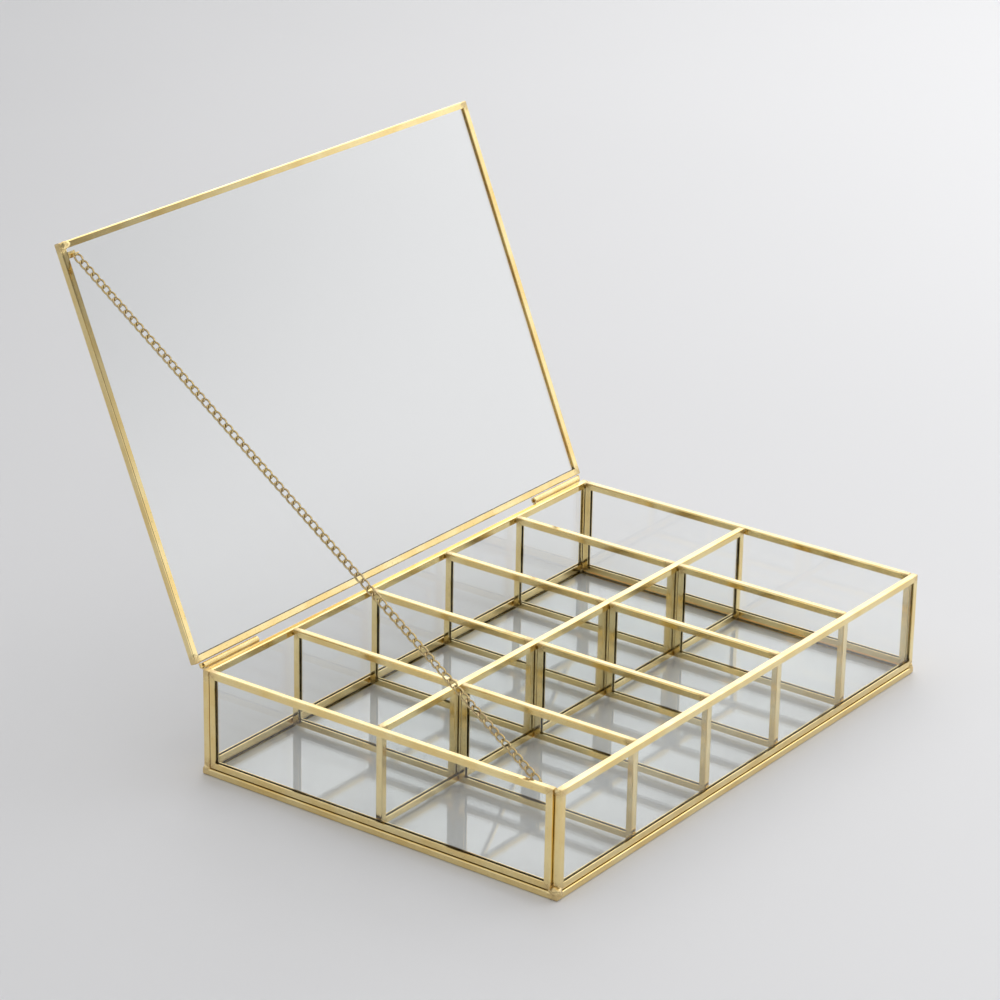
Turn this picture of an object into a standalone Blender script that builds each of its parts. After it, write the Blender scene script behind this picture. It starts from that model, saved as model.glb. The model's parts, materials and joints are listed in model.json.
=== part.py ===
"""Brass-and-glass jewelry box with a hinged lid and a stay chain.

Every wall is a clear pane held in a folded brass channel (a came).  The base
lies flat, four walls stand on it, and one long divider and eight short ones
split the inside into ten compartments.  The lid turns on two wire pins in
brass tubes and leans back on a chain.  The chain is a row of straight runs
that fold up in the front left compartment when the lid comes down.

Axes: +X to the right along the front, +Y from front to back, +Z up.  The
origin is under the middle of the box and its open lid, on the surface it
stands on.  Units are metres; MM turns millimetres into metres.
"""

import math

import bmesh
import bpy
from mathutils import Vector

MM = 0.001

# --- Driving dimensions ----------------------------------------------------

BASE_LENGTH = 299 * MM      # along X
BASE_WIDTH = 199 * MM       # along Y
RIM_HEIGHT = 52 * MM        # top of the walls and dividers
BASE_PROUD = 0.5 * MM       # the base came stands out past the walls
LID_LENGTH = 301 * MM
LID_WIDTH = 199 * MM
LID_OPEN = math.radians(112.65)

CAME = 3.4 * MM             # thickness of a came, across the pane
LEG = 3.3 * MM              # how far a came reaches in from its outer edge
SHEET = 0.4 * MM            # brass sheet that the came is folded from
FOLD_RADIUS = 0.6 * MM
FOLD_STEPS = 3
PANE = 2.0 * MM             # glass thickness
GAP = 0.3 * MM              # between pieces that touch
CORNER_STEP = 1.5 * MM      # the front wall's left end is this far in
SMOOTH_ANGLE = math.radians(40)
EMPTY_SIZE = 10 * MM

CROSS_LINES = 4             # lines of short dividers, at fifths of the length

TUBE_LENGTH = 38 * MM
TUBE_OUTER = 1.6 * MM       # radii
TUBE_BORE = 0.87 * MM
PIN_RADIUS = 0.8 * MM
PIN_SETBACK = 2.0 * MM      # hinge axis to the lid's hinge-side edge
TUBE_INSET = 2.5 * MM       # tube end to the outer face of the side wall
PIN_RECESS = 2.0 * MM       # pin's inner end to the tube's inner end
PIN_STEPS = 3
ROUND_STEPS = 24

CHAIN_RADIUS = 1.5 * MM
CHAIN_X = -143.7 * MM       # the whole chain hangs in this plane at rest
CHAIN_START = -85.0 * MM    # box eye, from the middle of the box
CHAIN_START_Z = 50.0 * MM
CHAIN_ON_LID = 194.5 * MM   # lid eye, from the hinge axis along the lid
CHAIN_DROP = 1.5 * MM       # lid eye, below the lid's inner face
FIRST_RUN = 64.0 * MM       # hangs from the box eye
LAST_RUN = 45.0 * MM        # hangs from the lid eye
FOLDED_RUNS = 6             # equal runs that fold to and fro between them
FOLD_OFFSET = 1.75 * MM     # fold axis to the chain's middle line
RUN_STEPS = 10
TIP_RADIUS = 0.3 * MM
TIP_TAPER = 3.6 * MM
TIP_CLEARANCE = 0.4 * MM    # a tapered end to its pivot
EYE_CLEARANCE = 2.2 * MM    # a tapered end to the middle of an eye
FOLD_CLEARANCE = 0.15 * MM
EYE_RADIUS = 1.25 * MM
EYE_WIRE = 0.35 * MM
EYE_STEPS = 24
EYE_WIRE_STEPS = 10
TAB_WIDTH = 3.0 * MM        # strip that joins the lid's eye to its came
TAB_THICKNESS = 0.4 * MM

# --- Derived places --------------------------------------------------------

WALL_X = BASE_LENGTH / 2 - BASE_PROUD
WALL_Y = BASE_WIDTH / 2 - BASE_PROUD
FLOOR = CAME + GAP                      # underside of walls and dividers
WALL_HEIGHT = RIM_HEIGHT - FLOOR
WALL_MIDDLE = FLOOR + WALL_HEIGHT / 2
INNER_X = WALL_X - CAME
INNER_Y = WALL_Y - CAME

HINGE_Y = WALL_Y + GAP + TUBE_OUTER
HINGE_Z = RIM_HEIGHT + GAP

LID_REACH = HINGE_Y - (PIN_SETBACK + LID_WIDTH) * math.cos(LID_OPEN)
LID_BACK = LID_REACH + CAME * math.sin(LID_OPEN)
BOX_Y = -(LID_BACK - BASE_WIDTH / 2) / 2

LID_ALONG = Vector((0, -math.cos(LID_OPEN), math.sin(LID_OPEN)))
LID_INWARD = Vector((0, -math.sin(LID_OPEN), -math.cos(LID_OPEN)))
HINGE_POINT = Vector((0, HINGE_Y, HINGE_Z))
CHAIN_FOOT = Vector((CHAIN_X, CHAIN_START, CHAIN_START_Z))
CHAIN_TOP = HINGE_POINT + LID_ALONG * CHAIN_ON_LID + LID_INWARD * CHAIN_DROP
CHAIN_TOP.x = CHAIN_X
CHAIN_LENGTH = (CHAIN_TOP - CHAIN_FOOT).length
CHAIN_WAY = (CHAIN_TOP - CHAIN_FOOT).normalized()
FOLDED_RUN = (CHAIN_LENGTH - FIRST_RUN - LAST_RUN) / FOLDED_RUNS
RUNS_ON_BOX = 4             # the chain is opened after this many runs

# --- Scene and materials ---------------------------------------------------


def clear_scene():
    for obj in list(bpy.data.objects):
        bpy.data.objects.remove(obj)


def new_collection(name):
    collection = bpy.data.collections.new(name)
    bpy.context.scene.collection.children.link(collection)
    return collection


def new_material(name, colour, metallic, roughness, transmission=0.0):
    material = bpy.data.materials.new(name)
    material.use_nodes = True
    shader = material.node_tree.nodes["Principled BSDF"]
    shader.inputs["Base Color"].default_value = (*colour, 1)
    shader.inputs["Metallic"].default_value = metallic
    shader.inputs["Roughness"].default_value = roughness
    shader.inputs["Transmission Weight"].default_value = transmission
    material.diffuse_color = (*colour, 1)
    return material


def brass(name):
    return new_material(name, (0.80, 0.60, 0.26), 1.0, 0.22)


def glass(name):
    return new_material(name, (0.94, 0.98, 0.97), 0.0, 0.03, 1.0)


# --- Building blocks -------------------------------------------------------


def add_object(name, data, parent, material, collection=None):
    obj = bpy.data.objects.new(name, data)
    (collection or PARTS).objects.link(obj)
    obj.parent = parent
    if material:
        data.materials.append(material)
    return obj


def add_empty(name, parent, location, rotation=(0, 0, 0)):
    empty = add_object(name, None, parent, None)
    empty.location = location
    empty.rotation_euler = rotation
    empty.empty_display_size = EMPTY_SIZE
    return empty


def block_mesh(name, size):
    mesh = bpy.data.meshes.new(name)
    bm = bmesh.new()
    bmesh.ops.create_cube(bm, size=1)
    bmesh.ops.scale(bm, vec=size, verts=bm.verts)
    bm.to_mesh(mesh)
    bm.free()
    return mesh


def cutter(name, size, parent):
    obj = add_object(name, block_mesh(name, size), parent, None, CUTTERS)
    obj.hide_render = True
    obj.display_type = "WIRE"
    return obj


def cut(obj, tool):
    modifier = obj.modifiers.new(tool.name, "BOOLEAN")
    modifier.operation = "DIFFERENCE"
    modifier.solver = "EXACT"
    modifier.object = tool


def round_folds(obj):
    modifier = obj.modifiers.new("folded_edges", "BEVEL")
    modifier.width = FOLD_RADIUS
    modifier.segments = FOLD_STEPS
    modifier.limit_method = "ANGLE"


def shade_round(mesh):
    mesh.shade_smooth()
    mesh.set_sharp_from_angle(angle=SMOOTH_ANGLE)


def came_frame(name, length, height, parent):
    """A closed ring of U-channel in the parent's XZ plane, open inwards."""
    size = (length, CAME, height)
    frame = add_object(name, block_mesh(name, size), parent, brass(name))
    round_folds(frame)
    window_size = (length - 2 * LEG, 2 * CAME, height - 2 * LEG)
    slot_size = (length - 2 * SHEET, CAME - 2 * SHEET, height - 2 * SHEET)
    cut(frame, cutter(name + "_window", window_size, parent))
    cut(frame, cutter(name + "_slot", slot_size, parent))
    return frame


def pane(name, length, height, parent):
    """Glass that sits in the channel of a frame of the same outer size."""
    edge = SHEET + GAP
    size = (length - 2 * edge, PANE, height - 2 * edge)
    return add_object(name, block_mesh(name, size), parent, glass(name))


def panel(name, length, height, parent, location, rotation=(0, 0, 0)):
    place = add_empty(name + "_place", parent, location, rotation)
    came_frame(name + "_frame", length, height, place)
    pane(name + "_pane", length, height, place)
    return place


def turned(name, profile, parent, material, steps, closed):
    """A profile in the local XZ plane turned about Z; each point is (r, z)."""
    mesh = bpy.data.meshes.new(name)
    points = [(r, 0, z) for r, z in profile]
    count = len(points)
    edges = [(i, i + 1) for i in range(count - 1)]
    if closed:
        edges.append((count - 1, 0))
    mesh.from_pydata(points, edges, [])
    obj = add_object(name, mesh, parent, material)
    screw = obj.modifiers.new("turn", "SCREW")
    screw.axis = "Z"
    screw.steps = steps
    screw.render_steps = steps
    screw.use_merge_vertices = True
    screw.merge_threshold = 0.01 * MM
    screw.use_smooth_shade = False
    return obj


# --- The box ---------------------------------------------------------------


def build_base(box):
    panel("base", BASE_LENGTH, BASE_WIDTH, box, (0, 0, CAME / 2), (math.pi / 2, 0, 0))


def build_walls(box):
    along = 2 * WALL_X
    across = 2 * (INNER_Y - GAP)
    step = CORNER_STEP
    wall_y = WALL_Y - CAME / 2
    wall_x = WALL_X - CAME / 2
    quarter = (0, 0, math.pi / 2)
    panel("front", along - step, WALL_HEIGHT, box, (step / 2, -wall_y, WALL_MIDDLE))
    panel("rear", along, WALL_HEIGHT, box, (0, wall_y, WALL_MIDDLE))
    panel("left", across, WALL_HEIGHT, box, (-wall_x, 0, WALL_MIDDLE), quarter)
    panel("right", across, WALL_HEIGHT, box, (wall_x, 0, WALL_MIDDLE), quarter)


def build_dividers(box):
    panel("long_divider", 2 * (INNER_X - GAP), WALL_HEIGHT, box, (0, 0, WALL_MIDDLE))
    inner_end = CAME / 2 + GAP
    outer_end = INNER_Y - GAP
    length = outer_end - inner_end
    middle = (outer_end + inner_end) / 2
    pitch = 2 * INNER_X / (CROSS_LINES + 1)
    for line in range(CROSS_LINES):
        x = (line - (CROSS_LINES - 1) / 2) * pitch
        for row, side in (("front", -1), ("rear", 1)):
            name = f"{row}_divider_{line + 1}"
            place = (x, side * middle, WALL_MIDDLE)
            panel(name, length, WALL_HEIGHT, box, place, (0, 0, math.pi / 2))


# --- Hinges ----------------------------------------------------------------


def tube_centre(side):
    return side * (WALL_X - TUBE_INSET - TUBE_LENGTH / 2)


def build_tubes(box):
    half = TUBE_LENGTH / 2
    wall = [(TUBE_OUTER, half), (TUBE_OUTER, -half), (TUBE_BORE, -half), (TUBE_BORE, half)]
    for name, side in (("left", -1), ("right", 1)):
        node = "hinge_tube_" + name
        tube = turned(node, wall, box, brass(node), ROUND_STEPS, closed=True)
        tube.location = (tube_centre(side), HINGE_Y, HINGE_Z)
        tube.rotation_euler = (0, math.pi / 2, 0)


def build_pins(lid):
    """Wires in the tubes; their outer ends turn towards the lid's edge."""
    reach = PIN_SETBACK - GAP
    outer = TUBE_LENGTH / 2 + GAP + PIN_RADIUS
    inner = PIN_RECESS - TUBE_LENGTH / 2
    for name, side in (("left", -1), ("right", 1)):
        node = "hinge_pin_" + name
        curve = bpy.data.curves.new(node, "CURVE")
        curve.dimensions = "3D"
        curve.bevel_depth = PIN_RADIUS
        curve.bevel_resolution = PIN_STEPS
        curve.use_fill_caps = True
        spline = curve.splines.new("POLY")
        route = [(side * outer, -reach), (side * outer, 0), (side * inner, 0)]
        spline.points.add(len(route) - 1)
        for point, (x, y) in zip(spline.points, route):
            point.co = (x, y, 0, 1)
        pin = add_object(node, curve, lid, brass(node))
        pin.location = (tube_centre(side), 0, 0)


# --- The lid ---------------------------------------------------------------


def build_lid(root):
    """The lid's empty is on the hinge axis; its own frame is the closed lid."""
    location = (0, HINGE_Y, HINGE_Z)
    lid = add_empty("lid_hinge", root, location, (-LID_OPEN, 0, 0))
    centre = (0, -PIN_SETBACK - LID_WIDTH / 2, CAME / 2)
    panel("lid", LID_LENGTH, LID_WIDTH, lid, centre, (math.pi / 2, 0, 0))
    return lid


# --- The stay chain --------------------------------------------------------


def eye(name, parent, location, rotation):
    bpy.ops.mesh.primitive_torus_add(
        major_radius=EYE_RADIUS, minor_radius=EYE_WIRE,
        major_segments=EYE_STEPS, minor_segments=EYE_WIRE_STEPS)
    ring = bpy.context.active_object
    for collection in list(ring.users_collection):
        collection.objects.unlink(ring)
    PARTS.objects.link(ring)
    ring.name = name
    ring.data.name = name
    ring.data.materials.append(brass(name))
    shade_round(ring.data)
    ring.parent = parent
    ring.location = location
    ring.rotation_euler = rotation
    return ring


def build_eyes(box, lid):
    upright = (math.pi / 2, 0, 0)
    eye("chain_eye_box", box, CHAIN_FOOT, upright)
    on_lid = (CHAIN_X, -CHAIN_ON_LID, -CHAIN_DROP)
    ring = eye("chain_eye_lid", lid, on_lid, upright)
    rail_edge = -LID_LENGTH / 2 + LEG + GAP
    tab_end = CHAIN_X + EYE_RADIUS
    tab_size = (tab_end - rail_edge, TAB_WIDTH, TAB_THICKNESS)
    tab = cutter("chain_tab", tab_size, lid)
    tab.location = ((tab_end + rail_edge) / 2, -CHAIN_ON_LID, TAB_THICKNESS / 2)
    join = ring.modifiers.new("tab", "BOOLEAN")
    join.operation = "UNION"
    join.solver = "EXACT"
    join.object = tab


def run_profile(length, start_trim, start_tapered, end_trim, end_tapered):
    """Half outline of a run from its far end down to its near end."""
    top = length - end_trim
    points = [(0, top)]
    if end_tapered:
        points.append((TIP_RADIUS, top))
        points.append((CHAIN_RADIUS, top - TIP_TAPER))
    else:
        points.append((CHAIN_RADIUS, top))
    if start_tapered:
        points.append((CHAIN_RADIUS, start_trim + TIP_TAPER))
        points.append((TIP_RADIUS, start_trim))
    else:
        points.append((CHAIN_RADIUS, start_trim))
    points.append((0, start_trim))
    return points


def fold_side(fold):
    """Folds bend to the left and to the right in turn, seen from above."""
    return -1 if fold % 2 == 0 else 1


def chain_layout():
    """Length of each run, and the pivot at each end of the runs at rest."""
    last = FOLDED_RUNS + 1
    lengths = [FIRST_RUN] + [FOLDED_RUN] * FOLDED_RUNS + [LAST_RUN]
    pivots = []
    travelled = 0
    for index in range(last + 2):
        pivot = CHAIN_FOOT + CHAIN_WAY * travelled
        if 2 <= index <= FOLDED_RUNS:
            pivot = pivot + Vector((FOLD_OFFSET * fold_side(index), 0, 0))
        pivots.append(pivot)
        if index <= last:
            travelled += lengths[index]
    return lengths, pivots


def build_chain(root):
    lengths, pivots = chain_layout()
    last = len(lengths) - 1
    tilt = math.atan2(CHAIN_WAY.z, CHAIN_WAY.y)
    upright_to_chain = (tilt - math.pi / 2, 0, 0)
    travelled = 0
    for index, length in enumerate(lengths):
        start_tapered = index in (0, 1, last)
        end_tapered = index in (0, last - 1, last)
        start_trim = FOLD_CLEARANCE
        end_trim = FOLD_CLEARANCE
        if start_tapered:
            start_trim = EYE_CLEARANCE if index == 0 else TIP_CLEARANCE
        if end_tapered:
            end_trim = EYE_CLEARANCE if index == last else TIP_CLEARANCE
        on_box = index < RUNS_ON_BOX
        pivot = pivots[index] if on_box else pivots[index + 1]
        hinge = add_empty(f"chain_pivot_{index + 1}", root, pivot)
        profile = run_profile(length, start_trim, start_tapered, end_trim, end_tapered)
        node = f"chain_run_{index + 1}"
        run = turned(node, profile, hinge, brass(node), RUN_STEPS, closed=False)
        run.location = CHAIN_FOOT + CHAIN_WAY * travelled - pivot
        run.rotation_euler = upright_to_chain
        travelled += length


# --- Assembly --------------------------------------------------------------


clear_scene()
PARTS = new_collection("jewelry_box")
CUTTERS = new_collection("cutters")

ROOT = add_empty("box_middle", None, (0, BOX_Y, 0))
build_base(ROOT)
build_walls(ROOT)
build_dividers(ROOT)
build_tubes(ROOT)
LID = build_lid(ROOT)
build_pins(LID)
build_eyes(ROOT, LID)
build_chain(ROOT)
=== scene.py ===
import json
import math
import random

import bmesh
import bpy
from mathutils import Euler, Matrix, Vector, noise


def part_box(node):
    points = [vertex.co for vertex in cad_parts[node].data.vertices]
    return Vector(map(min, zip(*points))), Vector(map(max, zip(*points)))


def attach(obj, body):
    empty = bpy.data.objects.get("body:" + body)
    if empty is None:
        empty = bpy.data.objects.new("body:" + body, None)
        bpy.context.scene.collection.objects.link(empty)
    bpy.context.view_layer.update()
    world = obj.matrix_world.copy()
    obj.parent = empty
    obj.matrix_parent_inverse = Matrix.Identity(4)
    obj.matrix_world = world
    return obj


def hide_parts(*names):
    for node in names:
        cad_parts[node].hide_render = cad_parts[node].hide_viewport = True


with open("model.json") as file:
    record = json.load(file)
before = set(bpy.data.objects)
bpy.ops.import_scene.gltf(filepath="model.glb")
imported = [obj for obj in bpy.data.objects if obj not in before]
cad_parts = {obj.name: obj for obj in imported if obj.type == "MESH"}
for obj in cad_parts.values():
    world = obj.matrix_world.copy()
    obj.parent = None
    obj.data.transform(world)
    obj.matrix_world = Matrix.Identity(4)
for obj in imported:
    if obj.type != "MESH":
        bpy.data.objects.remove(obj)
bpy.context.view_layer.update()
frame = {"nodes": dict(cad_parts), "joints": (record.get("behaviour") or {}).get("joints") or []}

MM = 0.001

# --- Places read from the frame --------------------------------------------

BASE_LO, BASE_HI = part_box("base_frame")
MIDDLE = (BASE_LO + BASE_HI) / 2
LID_JOINT = next(j for j in frame["joints"] if j["name"] == "lid_hinge")
LID_OPEN = math.radians(LID_JOINT["range_deg"][1])
HINGE = Vector(LID_JOINT["pos_m"])
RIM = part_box("front_frame")[1].z
LID_ALONG = Vector((0, -math.cos(LID_OPEN), math.sin(LID_OPEN)))
LID_INWARD = Vector((0, -math.sin(LID_OPEN), -math.cos(LID_OPEN)))

# --- Sizes of what is added --------------------------------------------------

CAME = 3.4 * MM
LEG = 3.3 * MM
LINK_PITCH = 3.87 * MM
LINK_WIRE = 0.46 * MM         # radius of the wire
LINK_HALF_WIDTH = 1.44 * MM   # middle of a link to the middle of its wire
LINK_RISE = 0.46 * MM         # the wire's rise and fall that lets links nest flat
EYE_RADIUS = 1.25 * MM
EYE_WIRE = 0.36 * MM

# --- Camera ------------------------------------------------------------------

LENS = 131.5
CAMERA_PLACE = Vector((-1.28248, -0.88899, 0.74398))   # from the middle of the base
VIEW_RIGHT = Vector((0.59337, -0.80475, 0.01698))
VIEW_UP = Vector((0.29290, 0.23552, 0.92668))


def make_camera():
    data = bpy.data.cameras.new("camera")
    data.lens = LENS
    camera = bpy.data.objects.new("camera", data)
    bpy.context.scene.collection.objects.link(camera)
    back = VIEW_RIGHT.cross(VIEW_UP)
    turn = Matrix((VIEW_RIGHT, VIEW_UP, back)).transposed().to_4x4()
    place = Vector((MIDDLE.x, MIDDLE.y, 0)) + CAMERA_PLACE
    camera.matrix_world = Matrix.Translation(place) @ turn
    data.clip_start = 0.05
    data.clip_end = 60
    bpy.context.scene.camera = camera


# --- Node helpers --------------------------------------------------------------


class Nodes:
    """Short ways to add and join nodes in one tree."""

    def __init__(self, tree):
        self.tree = tree
        tree.nodes.clear()

    def add(self, kind, **settings):
        node = self.tree.nodes.new(kind)
        for name, value in settings.items():
            setattr(node, name, value)
        return node

    def link(self, source, target):
        self.tree.links.new(source, target)

    def feed(self, socket, value):
        if isinstance(value, bpy.types.NodeSocket):
            self.link(value, socket)
        elif value is not None:
            socket.default_value = value

    def math(self, operation, a, b=None, c=None):
        node = self.add("ShaderNodeMath", operation=operation)
        for socket, value in zip(node.inputs, (a, b, c)):
            self.feed(socket, value)
        return node.outputs[0]

    def smooth(self, value, start, end, low=0.0, high=1.0):
        node = self.add("ShaderNodeMapRange", interpolation_type="SMOOTHSTEP")
        for name, v in zip(
            ("Value", "From Min", "From Max", "To Min", "To Max"),
            (value, start, end, low, high)):
            self.feed(node.inputs[name], v)
        return node.outputs["Result"]

    def noise(self, vector, scale, detail=2.0, rough=0.5):
        node = self.add("ShaderNodeTexNoise")
        self.feed(node.inputs["Vector"], vector)
        node.inputs["Scale"].default_value = scale
        node.inputs["Detail"].default_value = detail
        node.inputs["Roughness"].default_value = rough
        return node.outputs["Fac"]

    def scaled(self, vector, scale):
        node = self.add("ShaderNodeVectorMath", operation="MULTIPLY")
        self.feed(node.inputs[0], vector)
        node.inputs[1].default_value = scale
        return node.outputs[0]

    def mix(self, factor, a, b):
        node = self.add("ShaderNodeMix", data_type="RGBA")
        self.feed(node.inputs[0], factor)
        self.feed(node.inputs[6], (*a, 1) if isinstance(a, tuple) else a)
        self.feed(node.inputs[7], (*b, 1) if isinstance(b, tuple) else b)
        return node.outputs[2]

    def mix_vector(self, factor, a, b):
        node = self.add("ShaderNodeMix", data_type="VECTOR")
        self.feed(node.inputs[0], factor)
        self.feed(node.inputs[4], a)
        self.feed(node.inputs[5], b)
        return node.outputs[1]

    def bump(self, height, distance, strength=1.0, normal=None):
        node = self.add("ShaderNodeBump")
        node.inputs["Strength"].default_value = strength
        node.inputs["Distance"].default_value = distance
        self.feed(node.inputs["Height"], height)
        self.feed(node.inputs["Normal"], normal)
        return node.outputs[0]

    def surface(self, shader):
        out = self.add("ShaderNodeOutputMaterial")
        self.link(shader.outputs[0], out.inputs[0])


def new_material(name):
    material = bpy.data.materials.new(name)
    material.use_nodes = True
    return material, Nodes(material.node_tree)


def assign(obj, material):
    obj.data.materials.clear()
    obj.data.materials.append(material)


def panel_coords(n, centre, turn, half_length, half_height):
    """A panel's own coordinates, and how far a point is from its end and its top."""
    coords = n.add("ShaderNodeTexCoord").outputs["Object"]
    place = n.add("ShaderNodeMapping", vector_type="TEXTURE")
    n.link(coords, place.inputs["Vector"])
    place.inputs["Location"].default_value = centre
    place.inputs["Rotation"].default_value = turn
    local = place.outputs[0]
    axes = n.add("ShaderNodeSeparateXYZ")
    n.link(local, axes.inputs[0])
    from_end = n.math("SUBTRACT", half_length, n.math("ABSOLUTE", axes.outputs["X"]))
    from_top = n.math("SUBTRACT", half_height, n.math("ABSOLUTE", axes.outputs["Z"]))
    return local, from_end, from_top


# --- Brass ---------------------------------------------------------------------

BRASS_BRIGHT = (0.96, 0.79, 0.40)
BRASS_DEEP = (0.89, 0.66, 0.26)
BRASS_TARNISH = (0.42, 0.27, 0.09)
SOLDER_TONE = (0.70, 0.52, 0.24)
CHAIN_BRIGHT = (0.90, 0.74, 0.44)
# painted shade: the chain wire darkens to this where its surface turns away from the view
CHAIN_PAINTED_SHADE = (0.14, 0.08, 0.025)

GRAIN_ACROSS, GRAIN_ALONG = 3600, 60     # fine drawing lines, per metre
BAND_ACROSS, BAND_ALONG = 700, 9         # broad bands that wander: dents that bend reflections, and painted reflection streaks
SOLDER_FULL = 4.2 * MM                   # from a corner, before the solder thins
SOLDER_GONE = 8.2 * MM
SOLDER_RAGGED = 5.0 * MM


def brass_shader(n, colour, roughness, normal):
    """Lacquered brass, out to the material's surface."""
    shader = n.add("ShaderNodeBsdfPrincipled")
    n.feed(shader.inputs["Base Color"], colour)
    shader.inputs["Metallic"].default_value = 1.0
    n.feed(shader.inputs["Roughness"], roughness)
    shader.inputs["Coat Weight"].default_value = 0.6
    shader.inputs["Coat Roughness"].default_value = 0.12
    shader.inputs["Coat IOR"].default_value = 1.5
    n.feed(shader.inputs["Normal"], normal)
    n.surface(shader)


def came_brass(name, centre, turn, half_length, half_height):
    """Drawn brass channel: its grain follows each rail and post, its corners
    are mitred and dulled by solder, its folds are worn bright, and painted
    reflection streaks darken its colour along each rail and post."""
    material, n = new_material("came_" + name)
    local, from_end, from_top = panel_coords(n, centre, turn, half_length, half_height)
    mitre = n.math("SUBTRACT", from_end, from_top)
    rail = n.math("GREATER_THAN", mitre, 0.0)
    grain = n.mix_vector(
        rail,
        n.scaled(local, (GRAIN_ACROSS, GRAIN_ACROSS, GRAIN_ALONG)),
        n.scaled(local, (GRAIN_ALONG, GRAIN_ACROSS, GRAIN_ACROSS)))
    bands = n.mix_vector(
        rail,
        n.scaled(local, (BAND_ACROSS, BAND_ACROSS, BAND_ALONG)),
        n.scaled(local, (BAND_ALONG, BAND_ACROSS, BAND_ACROSS)))
    drawn = n.noise(grain, 1.0, 2.0, 0.55)
    banding = n.noise(bands, 1.0, 2.0, 0.5)
    tone = n.noise(local, 42.0, 3.0, 0.55)
    specks = n.noise(local, 1400.0, 2.0, 0.6)
    lumps = n.noise(local, 620.0, 3.0, 0.6)
    corner = n.math(
        "SQRT",
        n.math("ADD", n.math("MULTIPLY", from_end, from_end),
               n.math("MULTIPLY", from_top, from_top)))
    reach = n.math("ADD", corner, n.math("MULTIPLY", lumps, SOLDER_RAGGED))
    solder = n.smooth(reach, SOLDER_FULL, SOLDER_GONE, 1.0, 0.0)
    seam = n.smooth(n.math("ABSOLUTE", mitre), 0.05 * MM, 0.22 * MM, 1.0, 0.0)
    edge = n.math("MINIMUM", from_end, from_top)
    fold = n.smooth(edge, 0.15 * MM, 0.55 * MM, 1.0, 0.0)
    wear = n.math("MULTIPLY", fold, n.smooth(banding, 0.42, 0.62))
    aged = n.smooth(specks, 0.60, 0.74)
    colour = n.mix(n.smooth(tone, 0.34, 0.66), BRASS_DEEP, BRASS_BRIGHT)
    # Painted reflection: the colour darkens towards BRASS_DEEP along the wandering bands, for
    # reflections that change along a rail.
    colour = n.mix(n.math("MULTIPLY", n.smooth(banding, 0.45, 0.70), 0.35),
                   colour, BRASS_DEEP)
    colour = n.mix(n.math("MULTIPLY", wear, 0.5), colour, BRASS_BRIGHT)
    colour = n.mix(n.math("MULTIPLY", aged, 0.35), colour, BRASS_TARNISH)
    colour = n.mix(n.math("MULTIPLY", solder, 0.75), colour, SOLDER_TONE)
    colour = n.mix(n.math("MULTIPLY", seam, 0.55), colour, BRASS_TARNISH)
    rough = n.math("ADD", 0.05, n.math("MULTIPLY", drawn, 0.13))
    rough = n.math("ADD", rough, n.math("MULTIPLY", solder, 0.20))
    rough = n.math("ADD", rough, n.math("MULTIPLY", aged, 0.12))
    normal = n.bump(drawn, 0.004 * MM, 0.5)
    normal = n.bump(banding, 0.018 * MM, 0.6, normal)
    height = n.math("MULTIPLY", lumps, solder)
    normal = n.bump(height, 0.25 * MM, 0.8, normal)
    brass_shader(n, colour, rough, normal)
    return material


def round_brass(name, scale=1.0, dark=0.0, solder=0.0):
    """Brass without a grain of its own: wire, tube and solder."""
    material, n = new_material(name)
    coords = n.add("ShaderNodeTexCoord").outputs["Object"]
    tone = n.noise(coords, 90.0 * scale, 3.0, 0.55)
    fine = n.noise(coords, 2600.0 * scale, 3.0, 0.6)
    lumps = n.noise(coords, 800.0 * scale, 3.0, 0.6)
    colour = n.mix(n.smooth(tone, 0.34, 0.66), BRASS_DEEP, BRASS_BRIGHT)
    if solder:
        patches = n.smooth(lumps, 0.30, 0.60, solder * 0.4, solder)
        colour = n.mix(patches, colour, SOLDER_TONE)
    if dark:
        colour = n.mix(n.smooth(fine, 0.35, 0.65, 0.0, dark), colour, BRASS_TARNISH)
    rough = n.math("ADD", 0.12 + 0.12 * solder, n.math("MULTIPLY", fine, 0.18))
    normal = n.bump(fine, 0.02 * MM, 0.5)
    normal = n.bump(lumps, (0.05 + 0.15 * solder) * MM, 0.7, normal)
    brass_shader(n, colour, rough, normal)
    return material


def chain_brass():
    """Bright wire with darker specks, and painted shade that darkens its edges where they turn
    away from the view.
    """
    material, n = new_material("chain_wire")
    coords = n.add("ShaderNodeTexCoord").outputs["Object"]
    tone = n.noise(coords, 130.0, 3.0, 0.55)
    fine = n.noise(coords, 2400.0, 3.0, 0.6)
    edge = n.add("ShaderNodeLayerWeight")
    edge.inputs["Blend"].default_value = 0.42
    colour = n.mix(n.smooth(tone, 0.34, 0.66), CHAIN_BRIGHT, BRASS_BRIGHT)
    colour = n.mix(n.smooth(fine, 0.38, 0.66, 0.1, 0.7), colour, BRASS_TARNISH)
    # Painted shade: the wire's colour darkens towards its edges, where it turns away from the
    # view.
    colour = n.mix(n.smooth(edge.outputs["Facing"], 0.12, 0.62), colour, CHAIN_PAINTED_SHADE)
    rough = n.math("ADD", 0.08, n.math("MULTIPLY", fine, 0.16))
    normal = n.bump(fine, 0.02 * MM, 0.5)
    shader = n.add("ShaderNodeBsdfPrincipled")
    n.feed(shader.inputs["Base Color"], colour)
    shader.inputs["Metallic"].default_value = 1.0
    n.feed(shader.inputs["Roughness"], rough)
    n.feed(shader.inputs["Normal"], normal)
    n.surface(shader)
    return material


# --- Glass ---------------------------------------------------------------------


GLASS_TONE = (0.985, 0.995, 0.99)
GLASS_EDGE = (0.62, 0.80, 0.72)
GLASS_SHADOW = (0.985, 0.99, 0.987, 1)   # light that a pane lets through


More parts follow.
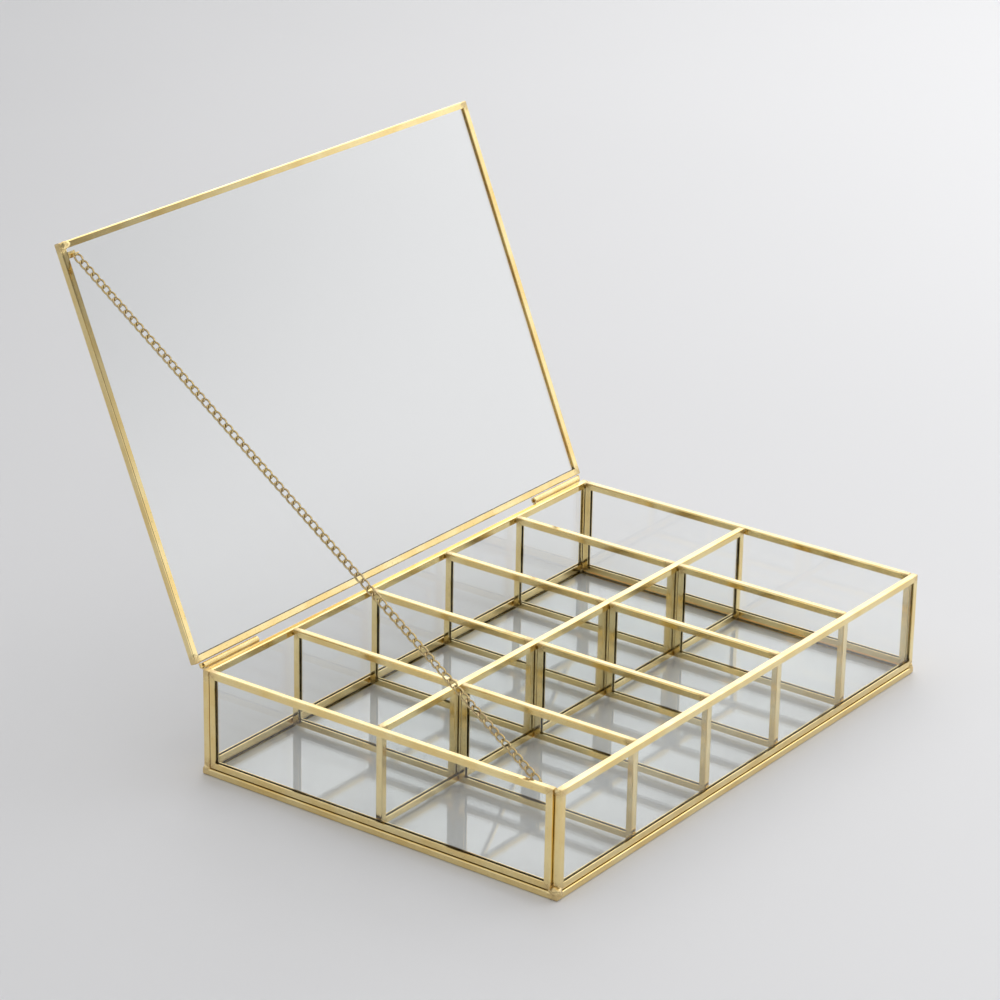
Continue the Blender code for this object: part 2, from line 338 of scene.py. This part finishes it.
def pane_glass(name, centre, turn, half_length, half_height):
    """Clear drawn glass with a greener edge, faint ripple and a few smears."""
    material, n = new_material("glass_" + name)
    local, from_end, from_top = panel_coords(n, centre, turn, half_length, half_height)
    edge = n.math("MINIMUM", from_end, from_top)
    rim = n.smooth(edge, 0.02 * MM, 0.12 * MM, 1.0, 0.0)
    smear = n.noise(n.scaled(local, (26, 26, 60)), 1.0, 4.0, 0.6)
    ripple = n.noise(n.scaled(local, (14, 14, 9)), 1.0, 1.0, 0.4)
    shader = n.add("ShaderNodeBsdfPrincipled")
    n.feed(shader.inputs["Base Color"], n.mix(rim, GLASS_TONE, GLASS_EDGE))
    shader.inputs["Transmission Weight"].default_value = 1.0
    shader.inputs["IOR"].default_value = 1.5
    n.feed(shader.inputs["Roughness"], n.smooth(smear, 0.55, 0.80, 0.0, 0.05))
    n.feed(shader.inputs["Normal"], n.bump(ripple, 0.03 * MM, 0.4))
    clear = n.add("ShaderNodeBsdfTransparent")
    clear.inputs[0].default_value = GLASS_SHADOW
    rays = n.add("ShaderNodeLightPath")
    both = n.add("ShaderNodeMixShader")
    n.link(rays.outputs["Is Shadow Ray"], both.inputs[0])
    n.link(shader.outputs[0], both.inputs[1])
    n.link(clear.outputs[0], both.inputs[2])
    n.surface(both)
    return material


# --- Panels ----------------------------------------------------------------------

FLAT = (math.pi / 2, 0, 0)
FACING_FRONT = (0, 0, 0)
FACING_SIDE = (0, 0, math.pi / 2)
LEANING = (math.pi / 2 - LID_OPEN, 0, 0)
DIVIDER_LINES = range(1, 5)
CAME_SHARP = 50         # degrees: folds sharper than this stay crisp
FITTING_SHARP = 40


def panel_turns():
    turns = {"base": FLAT, "lid": LEANING, "front": FACING_FRONT, "rear": FACING_FRONT,
             "left": FACING_SIDE, "right": FACING_SIDE, "long_divider": FACING_FRONT}
    for line in DIVIDER_LINES:
        turns[f"front_divider_{line}"] = FACING_SIDE
        turns[f"rear_divider_{line}"] = FACING_SIDE
    return turns


def local_box(node, turn):
    """Middle of a node and its half size, along the turned axes."""
    matrix = Euler(turn).to_matrix()
    inverse = matrix.transposed()
    points = [inverse @ v.co for v in frame["nodes"][node].data.vertices]
    lo = Vector(min(p[i] for p in points) for i in range(3))
    hi = Vector(max(p[i] for p in points) for i in range(3))
    return matrix @ ((lo + hi) / 2), (hi - lo) / 2


def finish_panels():
    for name, turn in panel_turns().items():
        node = frame["nodes"][name + "_frame"]
        centre, half = local_box(name + "_frame", turn)
        assign(node, came_brass(name, centre, turn, half.x, half.z))
        node.data.shade_smooth()
        node.data.set_sharp_from_angle(angle=math.radians(CAME_SHARP))
        weighted = node.modifiers.new("folds", "WEIGHTED_NORMAL")
        weighted.keep_sharp = True
        pane = frame["nodes"][name + "_pane"]
        centre, half = local_box(name + "_pane", turn)
        assign(pane, pane_glass(name, centre, turn, half.x, half.z))


# --- Chain -----------------------------------------------------------------------

FLAT_ROLL = 130         # degrees about the chain's own line
ROLL_SCATTER = 7        # degrees either way, from link to link
TWISTS = ((0, 5), (14 * MM, 30), (70 * MM, 30), (98 * MM, 0))   # place, degrees
RUNS = 8
FIRST_RUN = 64.0 * MM   # hangs from the box eye
LAST_RUN = 45.0 * MM    # hangs from the lid eye
LINK_SEED = 7
LINK_STEPS = 26
WIRE_STEPS = 10
TANGENT_STEP = 0.01     # radians


def centre_of(node):
    lo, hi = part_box(node)
    return (lo + hi) / 2


def link_point(angle, half_length):
    """Middle line of a curb link: an oval twisted so that links nest flat."""
    return Vector((
        half_length * math.cos(angle),
        LINK_HALF_WIDTH * math.sin(angle),
        LINK_RISE * math.sin(2 * angle)))


def link_into(bm, matrix, half_length):
    """Adds one link of round wire to bm."""
    rows = []
    for i in range(LINK_STEPS):
        a = 2 * math.pi * i / LINK_STEPS
        middle = link_point(a, half_length)
        ahead = (link_point(a + TANGENT_STEP, half_length) - middle).normalized()
        out = ahead.cross(Vector((0, 0, 1))).normalized()
        up = out.cross(ahead)
        row = []
        for j in range(WIRE_STEPS):
            b = 2 * math.pi * j / WIRE_STEPS
            offset = (out * math.cos(b) + up * math.sin(b)) * LINK_WIRE
            row.append(bm.verts.new(matrix @ (middle + offset)))
        rows.append(row)
    for i in range(LINK_STEPS):
        after = rows[(i + 1) % LINK_STEPS]
        for j in range(WIRE_STEPS):
            k = (j + 1) % WIRE_STEPS
            bm.faces.new((rows[i][j], after[j], after[k], rows[i][k]))


def chain_roll(along):
    """The flat of the chain faces forward, and twists near the chain's foot."""
    twist = 0.0
    for (low, low_twist), (high, high_twist) in zip(TWISTS, TWISTS[1:]):
        if low <= along < high:
            share = (along - low) / (high - low)
            twist = low_twist + (high_twist - low_twist) * share
    return math.radians(FLAT_ROLL + twist)


def finish_mesh(name, bm, body, material, smooth_angle=None):
    mesh = bpy.data.meshes.new(name)
    bm.normal_update()
    bm.to_mesh(mesh)
    bm.free()
    mesh.shade_smooth()
    if smooth_angle:
        mesh.set_sharp_from_angle(angle=math.radians(smooth_angle))
    obj = bpy.data.objects.new(name, mesh)
    bpy.context.scene.collection.objects.link(obj)
    assign(obj, material)
    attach(obj, body)
    return obj


def chain_ends():
    foot = centre_of("chain_eye_box")
    on_lid = centre_of("chain_eye_lid")
    on_lid.x = foot.x
    return foot, on_lid


def run_ends(length):
    """How far along the chain each run ends; the last takes what is left."""
    folded = (length - FIRST_RUN - LAST_RUN) / (RUNS - 2)
    return [FIRST_RUN + folded * i for i in range(RUNS - 1)] + [math.inf]


def build_chain():
    foot, top = chain_ends()
    way = (top - foot).normalized()
    length = (top - foot).length
    side = Vector((1, 0, 0))
    third = way.cross(side)
    first = EYE_RADIUS - EYE_WIRE + LINK_PITCH / 2
    gaps = round((length - 2 * first) / LINK_PITCH)
    pitch = (length - 2 * first) / gaps
    half_length = pitch / 2 + LINK_WIRE
    dice = random.Random(LINK_SEED)
    material = chain_brass()
    ends = run_ends(length)
    meshes = [bmesh.new() for _ in range(RUNS)]
    for i in range(gaps + 1):
        along = first + i * pitch
        run = next(k for k, end in enumerate(ends) if along < end)
        roll = chain_roll(along) + math.radians(dice.uniform(-ROLL_SCATTER, ROLL_SCATTER))
        across = side * math.cos(roll) + third * math.sin(roll)
        turn = Matrix((way, across, way.cross(across))).transposed().to_4x4()
        place = Matrix.Translation(foot + way * along)
        link_into(meshes[run], place @ turn, half_length)
    for number, bm in enumerate(meshes, start=1):
        piece = finish_mesh(
            f"chain_links_{number}", bm, f"chain_{number}", material)
        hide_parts(f"chain_run_{number}")


# --- Solder ------------------------------------------------------------------------


FOOT_INSET = 1.5 * MM         # corner solder, in from the outer faces
FOOT_RADIUS = 2.2 * MM
FRONT_LEFT_RADIUS = 2.9 * MM  # the largest one
FOOT_SINK = 0.1 * MM
RIM_INSET = 2.4 * MM
RIM_SINK = 1.1 * MM
RIM_RADII = (1.9 * MM, 1.9 * MM, 1.15 * MM)
PAD_ALONG = 199.2 * MM        # pad on the lid, from the hinge axis
PAD_SIDE = 3.4 * MM           # in from the lid's left edge
PAD_INWARD = 0.02 * MM
PAD_RADII = (3.2 * MM, 1.7 * MM, 0.22 * MM)
POST_TOP_SINK = 1.0 * MM      # divider solder, below the rim
POST_TOP_SPILL = 1.02         # its width, over the width of a came
POST_TOP_RADII = (1.0 * MM, 1.08 * MM)   # along the divider, and upright
POST_FOOT_RISE = 0.5 * MM
POST_FOOT_SPILL = 1.04
POST_FOOT_RADII = (0.9 * MM, 0.7 * MM)
FILLET_TO_PANE = 1.0 * MM     # a fillet's end to the middle of the pane
FILLET_WIDTH = CAME * 0.9
LUMP_SUBDIVISIONS = 3
LUMP_ROUGH = 0.16


def lump_into(bm, centre, radii, turn, seed):
    start = len(bm.verts)
    bmesh.ops.create_icosphere(bm, subdivisions=LUMP_SUBDIVISIONS, radius=1)
    bm.verts.ensure_lookup_table()
    for vert in list(bm.verts)[start:]:
        offset = Vector((seed * 3.1, seed * 1.7, seed * 5.3))
        grow = 1 + LUMP_ROUGH * noise.noise(vert.co * 1.6 + offset) * 2
        p = vert.co * grow
        p = Vector((p.x * radii[0], p.y * radii[1], p.z * radii[2]))
        vert.co = centre + turn @ p


def solder_piece(name, spots, body, material, turn=Matrix.Identity(3)):
    bm = bmesh.new()
    for seed, (centre, radii) in enumerate(spots):
        lump_into(bm, centre, radii, turn, seed + 1)
    return finish_mesh(name, bm, body, material)


def wall_corners():
    left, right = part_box("left_frame"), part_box("right_frame")
    front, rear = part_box("front_frame"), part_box("rear_frame")
    for x, sx in ((left[0].x, -1), (right[1].x, 1)):
        for y, sy in ((front[0].y, -1), (rear[1].y, 1)):
            yield x, sx, y, sy


def corner_spots():
    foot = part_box("front_frame")[0].z - FOOT_SINK
    for x, sx, y, sy in wall_corners():
        wide = FRONT_LEFT_RADIUS if sx < 0 and sy < 0 else FOOT_RADIUS
        yield (Vector((x - sx * FOOT_INSET, y - sy * FOOT_INSET, foot)),
               (wide, wide, FOOT_RADIUS))
        yield (Vector((x - sx * RIM_INSET, y - sy * RIM_INSET, RIM - RIM_SINK)),
               RIM_RADII)


def post_spots(x, y, foot, along_x=False):
    """Solder at the top and the foot of a divider's post."""
    for z, spill, (reach, half_height) in (
            (RIM - POST_TOP_SINK, POST_TOP_SPILL, POST_TOP_RADII),
            (foot + POST_FOOT_RISE, POST_FOOT_SPILL, POST_FOOT_RADII)):
        wide = CAME / 2 * spill
        radii = (reach, wide, half_height) if along_x else (wide, reach, half_height)
        yield Vector((x, y, z)), radii


def divider_spots():
    for line in DIVIDER_LINES:
        for row in ("front", "rear"):
            lo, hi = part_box(f"{row}_divider_{line}_frame")
            for y in (lo.y, hi.y):
                yield from post_spots((lo.x + hi.x) / 2, y, lo.z)
    lo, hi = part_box("long_divider_frame")
    for x in (lo.x, hi.x):
        yield from post_spots(x, (lo.y + hi.y) / 2, lo.z, along_x=True)


def build_solder():
    material = round_brass("solder", solder=0.8)
    solder_piece("solder_corners", corner_spots(), "box", material)
    solder_piece("solder_dividers", divider_spots(), "box", material)
    build_seams()
    build_lid_pad()


def build_lid_pad():
    """Flat solder on the lid's corner, under the end of the chain."""
    pad = HINGE + LID_ALONG * PAD_ALONG + LID_INWARD * PAD_INWARD
    pad.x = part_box("lid_frame")[0].x + PAD_SIDE
    turn = Matrix((Vector((1, 0, 0)), LID_ALONG, LID_INWARD)).transposed()
    bright = round_brass("pad_solder", solder=0.2)
    solder_piece("solder_lid", [(pad, PAD_RADII)], "lid", bright, turn)


def build_seams():
    """Thin brass fillets between the posts of the short dividers and the
    long divider's pane."""
    bm = bmesh.new()
    middle = centre_of("long_divider_pane").y
    for line in DIVIDER_LINES:
        for row in ("front", "rear"):
            lo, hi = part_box(f"{row}_divider_{line}_frame")
            post = hi.y if row == "front" else lo.y
            side = -1 if row == "front" else 1
            y = (post + middle + side * FILLET_TO_PANE) / 2
            size = (FILLET_WIDTH, abs(post - middle) - FILLET_TO_PANE,
                    hi.z - lo.z - 2 * LEG)
            place = Matrix.Translation(((lo.x + hi.x) / 2, y, (lo.z + hi.z) / 2))
            bmesh.ops.create_cube(bm, size=1, matrix=place @ Matrix.Diagonal((*size, 1)))
    finish_mesh("solder_posts", bm, "box", round_brass("seam_brass", dark=0.25), 30)


# --- Hinges and eyes ------------------------------------------------------------


def finish_fitting(node, material):
    obj = frame["nodes"][node]
    assign(obj, material)
    obj.data.shade_smooth()
    obj.data.set_sharp_from_angle(angle=math.radians(FITTING_SHARP))


def finish_fittings():
    tube = round_brass("hinge_brass", dark=0.45)
    pin = round_brass("pin_brass", dark=0.3)
    eye = round_brass("eye_brass", dark=0.1, solder=0.3)
    for side in ("left", "right"):
        finish_fitting(f"hinge_tube_{side}", tube)
        finish_fitting(f"hinge_pin_{side}", pin)
    for owner in ("box", "lid"):
        finish_fitting(f"chain_eye_{owner}", eye)


# --- Stage ------------------------------------------------------------------------

FLOOR_SIZE = 9.0                  # metres from the middle to an edge
FLOOR_TONE = 0.815
# limits of the painted light and shade on the floor
FLOOR_PAINTED_DARKEST, FLOOR_PAINTED_PALEST = 0.66, 0.90
FLOOR_PAINTED_LIGHT_SLOPE = (0.13, -0.206, 0)   # painted light: the floor's colour is paler towards its right side and darker to its left
FLOOR_BLUE = 1.008                # very slightly cool


def build_floor():
    bm = bmesh.new()
    bmesh.ops.create_grid(bm, x_segments=8, y_segments=8, size=FLOOR_SIZE)
    mesh = bpy.data.meshes.new("floor")
    bm.to_mesh(mesh)
    bm.free()
    floor = bpy.data.objects.new("floor", mesh)
    floor.location = (MIDDLE.x, MIDDLE.y, -0.1 * MM)
    bpy.context.scene.collection.objects.link(floor)
    material, n = new_material("floor")
    coords = n.add("ShaderNodeTexCoord").outputs["Object"]
    mottle = n.noise(coords, 3.0, 3.0, 0.5)
    # Painted light: the floor's colour pales towards its right side and darkens to its left,
    # held between the two limits, in place of light falling off across the floor.
    painted_light_slope = n.add("ShaderNodeVectorMath", operation="DOT_PRODUCT")
    n.link(coords, painted_light_slope.inputs[0])
    painted_light_slope.inputs[1].default_value = FLOOR_PAINTED_LIGHT_SLOPE
    tone = n.math("ADD", painted_light_slope.outputs["Value"], FLOOR_TONE)
    tone = n.math("ADD", tone, n.math("MULTIPLY", mottle, 0.02))
    tone = n.math("MINIMUM", n.math("MAXIMUM", tone, FLOOR_PAINTED_DARKEST), FLOOR_PAINTED_PALEST)
    base = n.add("ShaderNodeCombineColor")
    n.link(tone, base.inputs[0])
    n.link(tone, base.inputs[1])
    n.link(n.math("MULTIPLY", tone, FLOOR_BLUE), base.inputs[2])
    shader = n.add("ShaderNodeBsdfPrincipled")
    n.link(base.outputs[0], shader.inputs["Base Color"])
    n.feed(shader.inputs["Roughness"], n.smooth(mottle, 0.3, 0.7, 0.50, 0.60))
    shader.inputs["Specular IOR Level"].default_value = 0.08
    n.surface(shader)
    assign(floor, material)


BRIGHT_TOWARD = math.radians(10)
BRIGHT_SIDE = Vector((math.cos(BRIGHT_TOWARD), math.sin(BRIGHT_TOWARD), 0))
HORIZON_LIGHT = 0.95
UPPER_LIGHT = 0.10        # above the horizon, away from the bright side
BRIGHT_LIGHT = 1.25       # added there on the bright side
OVERHEAD_LIGHT = 0.62
WORLD_STRENGTH = 1.2


def build_world():
    world = bpy.data.worlds.new("studio")
    bpy.context.scene.world = world
    world.use_nodes = True
    n = Nodes(world.node_tree)
    direction = n.add("ShaderNodeTexCoord").outputs["Generated"]
    axes = n.add("ShaderNodeSeparateXYZ")
    n.link(direction, axes.inputs[0])
    across = n.add("ShaderNodeVectorMath", operation="MULTIPLY")
    n.link(direction, across.inputs[0])
    across.inputs[1].default_value = (1, 1, 0)
    level = n.add("ShaderNodeVectorMath", operation="NORMALIZE")
    n.link(across.outputs[0], level.inputs[0])
    toward = n.add("ShaderNodeVectorMath", operation="DOT_PRODUCT")
    n.link(level.outputs[0], toward.inputs[0])
    toward.inputs[1].default_value = BRIGHT_SIDE
    far = n.smooth(toward.outputs["Value"], 0.56, 0.72)
    raised = n.smooth(axes.outputs["Z"], 0.15, 0.24)
    overhead = n.smooth(axes.outputs["Z"], 0.50, 0.72)
    upper = n.math("ADD", UPPER_LIGHT, n.math("MULTIPLY", far, BRIGHT_LIGHT))
    change = n.math("MULTIPLY", raised, n.math("SUBTRACT", upper, HORIZON_LIGHT))
    light = n.math("ADD", HORIZON_LIGHT, change)
    change = n.math("MULTIPLY", overhead, n.math("SUBTRACT", OVERHEAD_LIGHT, light))
    light = n.math("ADD", light, change)
    back = n.add("ShaderNodeBackground")
    n.link(n.math("MULTIPLY", light, WORLD_STRENGTH), back.inputs["Strength"])
    back.inputs["Color"].default_value = (1.0, 1.0, 1.01, 1)
    out = n.add("ShaderNodeOutputWorld")
    n.link(back.outputs[0], out.inputs[0])


def softbox(name, place, size, power, aim=(0, 0), spread=180):
    """An area light; place and aim are metres from the middle of the base."""
    data = bpy.data.lights.new(name, "AREA")
    data.shape = "RECTANGLE"
    data.size, data.size_y = size
    data.energy = power
    data.spread = math.radians(spread)
    lamp = bpy.data.objects.new(name, data)
    lamp.location = Vector((MIDDLE.x, MIDDLE.y, 0)) + Vector(place)
    target = Vector((MIDDLE.x + aim[0], MIDDLE.y + aim[1], 0.05))
    lamp.rotation_euler = (lamp.location - target).to_track_quat("Z", "Y").to_euler()
    bpy.context.scene.collection.objects.link(lamp)


def build_lights():
    softbox("key", place=(1.0, -0.75, 1.25), size=(1.2, 1.2), power=0.4,
            aim=(0.36, -0.36), spread=62)
    softbox("back", place=(2.0, 0.5, 1.4), size=(1.6, 1.2), power=1.95,
            aim=(1.25, 0.25), spread=62)
    softbox("top", place=(0.3, 0.2, 2.4), size=(2.6, 2.6), power=5.4)
    softbox("fill", place=(-0.5, -0.9, 1.8), size=(1.6, 1.6), power=0.3,
            aim=(-0.2, -0.3), spread=90)


# --- Everything -------------------------------------------------------------------

bpy.context.scene.view_settings.view_transform = "Standard"
make_camera()
build_floor()
build_world()
build_lights()
finish_panels()
finish_fittings()
build_chain()
build_solder()
